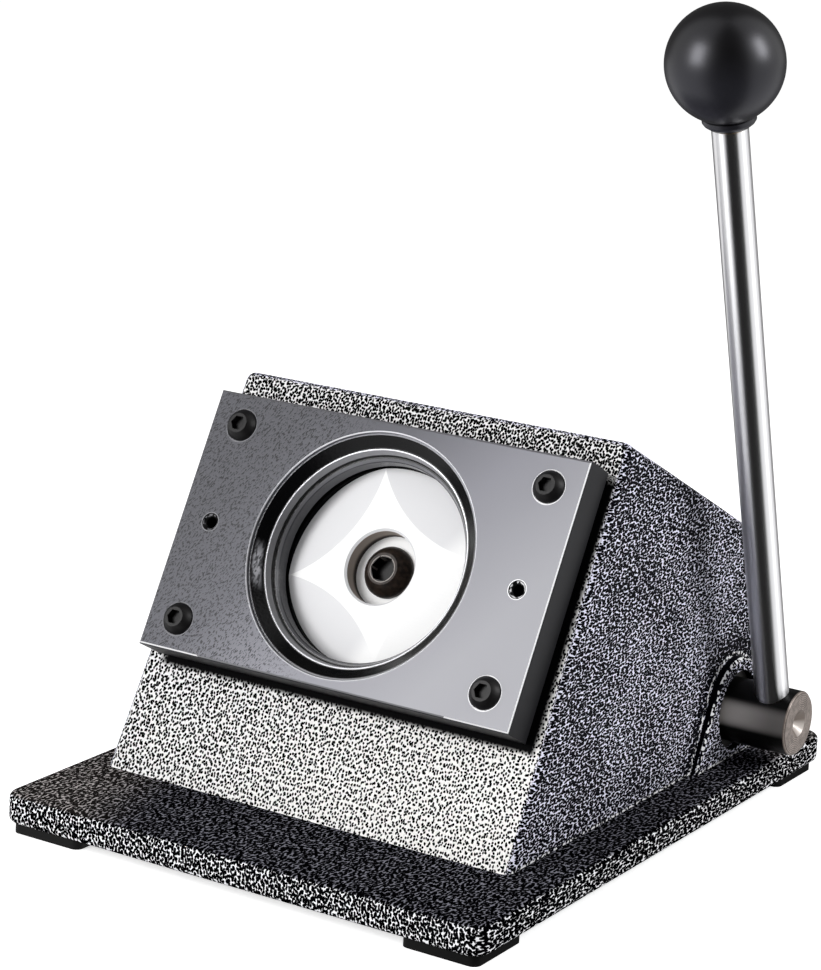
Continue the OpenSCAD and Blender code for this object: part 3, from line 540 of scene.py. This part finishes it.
def ground_steel(g):
    """A white star in the middle, four ground facets round it painted in shade, the one at the lower
    right painted lit, and fine grinding lines.
    """
    g.read_face()
    facing = g.dot(g.normal, OUT)
    star = g.smooth(facing, 0.9955, 0.9975)
    lit = g.smooth(g.dot(g.die_place, LIT_FACET), 0.012, 0.022)
    colour = g.mix(star, g.mix(lit, srgb("e4e4e6"), srgb("fdfdfd")), srgb("ffffff"))
    drawn = g.node("ShaderNodeMapping", {"Vector": g.die_place, "Scale": (1, 14, 1)})
    lines = g.smooth(g.noise(drawn, 160, 3, 0.6), 0.4, 0.8, 0.0, 0.06)
    colour = g.mix(lines, colour, srgb("d9d9dc"))
    # The counterbore: a brown wall, painted darker below as shade, round a bright floor
    wall = g.all_of(g.less(g.radius, COUNTERBORE_R), g.fade(facing, 0.3, 0.7))
    counterbore_shade = g.fade(g.out, -0.0068, -0.0045)
    colour = g.mix(wall, colour, g.mix(counterbore_shade, srgb("a3988f"), srgb("2c2623")))
    return {"Base Color": colour, "Metallic": 0.0, "Roughness": 0.5, "Specular IOR Level": 0.1}


paint("punch", material("ground_steel", ground_steel))


# ---- Fasteners, shaft, lever ----

# Radii on the punch screw's head: the socket, painted black as shade, and the light ring of painted
# highlight round it
SOCKET_R = 0.0047
SOCKET_RING_R = (0.00475, 0.00512)
# The way the painted highlight along the shaft's barrel faces
SHAFT_HIGHLIGHT = Vector((0, -0.98, 0.19)).normalized()


def plain(text, rough, metallic=1.0, grain=0.2, specular=0.5):
    """A builder for one colour, with grain as the share of a darker mottle."""
    colour = srgb(text)
    darker = tuple(c * 0.4 for c in colour)

    def build(g):
        mottle = g.smooth(g.noise(g.place, 400, 3, 0.6), 0.35, 0.75, 0.0, grain)
        return {"Base Color": g.mix(mottle, colour, darker), "Roughness": rough,
                "Metallic": metallic, "Specular IOR Level": specular}
    return build


def browned_shaft(g):
    """Dark on the barrel with a painted highlight in front; the turned ends are brown and ringed, and
    the dimple is painted lighter where it faces up and to the front.
    """
    r = g.length(g.pair(g.sub(g.y, SHAFT.y), g.sub(g.z, SHAFT.z)))
    along = g.smooth(g.x, SHAFT_END - 0.022, SHAFT_END - 0.004, 1.0, 0.4)
    barrel_highlight = g.all_of(g.smooth(g.dot(g.normal, SHAFT_HIGHLIGHT), 0.88, 1.0), along)
    barrel = g.mix(barrel_highlight, srgb("0c0b0b"), srgb("bdb8b5"))
    rings = g.mul(g.math("SINE", g.mul(r, 9000.0)), 0.2)
    spots = g.noise(g.place, 500, 3, 0.6)
    face = g.mix(g.smooth(g.add(rings, spots), 0.3, 0.7), srgb("625954"), srgb("9b9089"))
    dimple_lit = g.smooth(g.dot(g.normal, (0, -0.7, 0.7)), 0.35, 0.68)
    dimple = g.mix(dimple_lit, srgb("80766f"), srgb("d6cec8"))
    face = g.mix(g.less(r, DIMPLE_R), face, dimple)
    on_end = g.smooth(g.sideways, 0.5, 0.65)
    return {"Base Color": g.mix(on_end, barrel, face), "Roughness": g.blend(on_end, 0.38, 0.3),
            "Metallic": 0.15, "Specular IOR Level": 0.15}


def punch_screw_steel(g):
    """Dark brown, with a light ring of painted highlight round the socket, which is painted black as
    shade.
    """
    g.read_face()
    spots = g.smooth(g.noise(g.place, 500, 3, 0.6), 0.35, 0.7)
    head = g.mix(spots, srgb("2b221d"), srgb("120e0c"))
    highlight_ring = g.all_of(g.more(g.radius, SOCKET_RING_R[0]), g.less(g.radius, SOCKET_RING_R[1]))
    colour = g.mix(highlight_ring, head, srgb("6f6a67"))
    colour = g.mix(g.less(g.radius, SOCKET_R), colour, srgb("060505"))
    return {"Base Color": colour, "Roughness": 0.35, "Metallic": 0.2, "Specular IOR Level": 0.2}


def chrome(g):
    """Polished along its length, so reflections are drawn out towards the ball."""
    axis = g.node("ShaderNodeVectorTransform", (ROD_AXIS,), vector_type="VECTOR",
                  convert_from="OBJECT", convert_to="WORLD")
    return {"Base Color": srgb("f2f2f4"), "Roughness": 0.28, "Metallic": 1.0, "Anisotropic": 1.0,
            "Tangent": axis}


def ball_plastic(g):
    """Satin black, painted a little lighter below as the floor's reflection."""
    below = g.fade(g.dot(g.normal, UP), -0.5, 0.35)
    return {"Base Color": g.mix(below, srgb("070607"), srgb("202026")), "Roughness": 0.34,
            "Specular IOR Level": 0.5, "Specular Tint": srgb("f6f6ff")}


SPRING = material("spring_steel", plain("55555a", 0.4, grain=0.3))
BLACK_OXIDE = material("black_oxide", plain("141314", 0.42, metallic=0.2, grain=0.4, specular=0.25))
RUBBER = material("foot_rubber", plain("0b0b0b", 0.6, metallic=0.0, grain=0.3, specular=0.15))

for mat, names in (
        (BLACK_OXIDE, ("die_screws", "base_screws", "guide_screw", "cam_screw")),
        (material("browned_steel", browned_shaft), ("cross_shaft",)),
        (material("browned_screw", punch_screw_steel), ("punch_screw",)),
        (material("chrome", chrome), ("lever_rod",)),
        (material("black_plastic", ball_plastic), ("ball_knob",)),
        (material("zinc", plain("c3c3c6", 0.35)),
         ("plate_spacers", "spring_washer", "thrust_washer", "foot_screws")),
        (material("machined_steel", plain("b5b5b8", 0.3)),
         ("ram", "spring_collar", "cam_roller", "roller_pin", "stop_pin", "cam_key", "cam")),
        (SPRING, ("return_spring", "collar_clip", "roller_clips", "shaft_clip")),
        (material("bronze", plain("8f6c3c", 0.4, grain=0.3)), ("ram_bush",)),
        # The shaft's bushes are painted near black as the shade in the gap round the shaft.
        (material("bush_in_painted_shade", plain("1a1816", 0.5, metallic=0.6, grain=0.3)),
         ("shaft_bush_right", "shaft_bush_left")),
        (material("brass", plain("c9a35a", 0.3)), ("knob_insert",)),
        (RUBBER, ("rubber_feet",))):
    for name in names:
        paint(name, mat)


# ---- Return spring: its coils as a mesh of their own, held by the housing, in place of the CAD part ----

coil_mesh = NODES["return_spring"].data.copy()
coil_mesh.materials.clear()
coil_mesh.materials.append(SPRING)
coil = bpy.data.objects.new("return_spring_coils", coil_mesh)
bpy.context.collection.objects.link(coil)
heights = [(vertex.co - DIE).dot(OUT) for vertex in coil_mesh.vertices]
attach(coil, "housing")
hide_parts("return_spring")
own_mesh(coil)


# ---- Floor and studio ----

WHITE = (1, 1, 1)
FLOOR_HALF = 6.0
# Strength of the studio's dark side and of its dimmer end, as polished metal shows them
DARK_SIDE = 0.02
DIM_END = 0.12


def floor_material():
    new = bpy.data.materials.new("floor")
    new.use_nodes = True
    g = Graph(new.node_tree)
    path = g.tree.nodes.new("ShaderNodeLightPath")
    # Seen by the camera, the floor is white and keeps the object's shadow
    soft = g.node("ShaderNodeBsdfDiffuse", {"Color": (0.95, 0.95, 0.95)})
    glow = g.node("ShaderNodeEmission", {"Color": WHITE, "Strength": 0.62})
    seen = g.node("ShaderNodeAddShader", (soft, glow))
    # In reflections it is white too, but dark in front and to the right of the rod's foot, and
    # dimmer on the opposite side
    g.read_surface()
    turn = g.math("ARCTAN2", g.sub(g.y, ROD_FOOT.y), g.sub(g.x, ROD_FOOT.x))
    dark = g.all_of(g.smooth(turn, math.radians(-112), math.radians(-84)),
                    g.fade(turn, math.radians(-26), math.radians(-10)))
    opposite = g.size(g.sub(turn, math.radians(115)))
    dim = g.smooth(opposite, math.radians(38), math.radians(55), DIM_END, 1.0)
    strength = g.mul(dim, g.blend(dark, 0.95, DARK_SIDE))
    shown = g.node("ShaderNodeEmission", {"Color": WHITE, "Strength": strength})
    mirrored = g.any_of(path.outputs["Is Glossy Ray"], path.outputs["Is Transmission Ray"])
    plain_floor = g.node("ShaderNodeBsdfDiffuse", {"Color": (0.8, 0.8, 0.8)})
    lit = g.node("ShaderNodeMixShader", (path.outputs["Is Camera Ray"], plain_floor, seen))
    g.node("ShaderNodeOutputMaterial", (g.node("ShaderNodeMixShader", (mirrored, lit, shown)),))
    return new


floor_mesh = bpy.data.meshes.new("floor")
floor_mesh.from_pydata([(x * FLOOR_HALF, y * FLOOR_HALF, 0)
                        for x, y in ((-1, -1), (1, -1), (1, 1), (-1, 1))], [], [(0, 1, 2, 3)])
floor_mesh.materials.append(floor_material())
floor = bpy.data.objects.new("floor", floor_mesh)
bpy.context.collection.objects.link(floor)


def studio_light(g):
    """Strength of the world: white to the camera, and a studio with a dark side in reflections."""
    path = g.tree.nodes.new("ShaderNodeLightPath")
    direction = g.node("ShaderNodeTexCoord", out="Generated")
    flat = g.vector("NORMALIZE", g.vector("MULTIPLY", direction, (1, 1, 0)))
    # The polished rod shows the dark side as its dark core
    facing = g.dot(flat, Vector((0.559, -0.829, 0)).normalized())
    studio = g.smooth(facing, math.cos(math.radians(50)), math.cos(math.radians(30)), 0.92, DARK_SIDE)
    # The dimmer end opposite it makes the dark lines along polished edges
    dim = g.smooth(facing, math.cos(math.radians(142)), math.cos(math.radians(125)), DIM_END, 1.0)
    lit = g.blend(path.outputs["Is Glossy Ray"], 0.42, g.mul(studio, dim))
    return g.blend(path.outputs["Is Camera Ray"], lit, 1.0)


world = bpy.data.worlds.new("studio")
bpy.context.scene.world = world
world.use_nodes = True
world_graph = Graph(world.node_tree)
sky = world_graph.node("ShaderNodeBackground", {"Color": WHITE,
                                                "Strength": studio_light(world_graph)})
world_graph.node("ShaderNodeOutputWorld", (sky,))


# ---- Lights and camera ----

LAMP_DISTANCE = 1.5


def area_light(name, toward, size, power):
    """A soft lamp that stands LAMP_DISTANCE from the ball and faces it."""
    data = bpy.data.lights.new(name, "AREA")
    data.shape = "RECTANGLE"
    data.size, data.size_y = size
    data.energy = power
    light = bpy.data.objects.new(name, data)
    bpy.context.collection.objects.link(light)
    toward = Vector(toward).normalized()
    light.location = BALL + toward * LAMP_DISTANCE
    light.rotation_euler = toward.to_track_quat("Z", "Y").to_euler()


area_light("key", (-0.4723, -0.8381, 0.2729), size=(0.6, 0.85), power=17)
area_light("fill", (0.8483, 0.2318, 0.4761), size=(0.5, 0.75), power=14)

CAMERA_PLACE = Vector((0.565694, -0.95619, 0.40660))
LOOK = Vector((-0.50564, 0.82693, -0.24600)).normalized()
CAMERA_UP = Vector((-0.17311, 0.18209, 0.96792)).normalized()
CAMERA_RIGHT = LOOK.cross(CAMERA_UP).normalized()

camera_data = bpy.data.cameras.new("camera")
camera_data.sensor_width = 36
camera_data.lens = 116.02
camera_data.shift_x = -0.01812
camera_data.shift_y = -0.00319
camera_data.clip_start = 0.05
camera = bpy.data.objects.new("camera", camera_data)
bpy.context.collection.objects.link(camera)
columns = (CAMERA_RIGHT, CAMERA_UP, -LOOK, CAMERA_PLACE)
camera.matrix_world = Matrix([[column[i] for column in columns] for i in range(3)] + [[0, 0, 0, 1]])
bpy.context.scene.camera = camera
bpy.context.scene.view_settings.view_transform = "Standard"
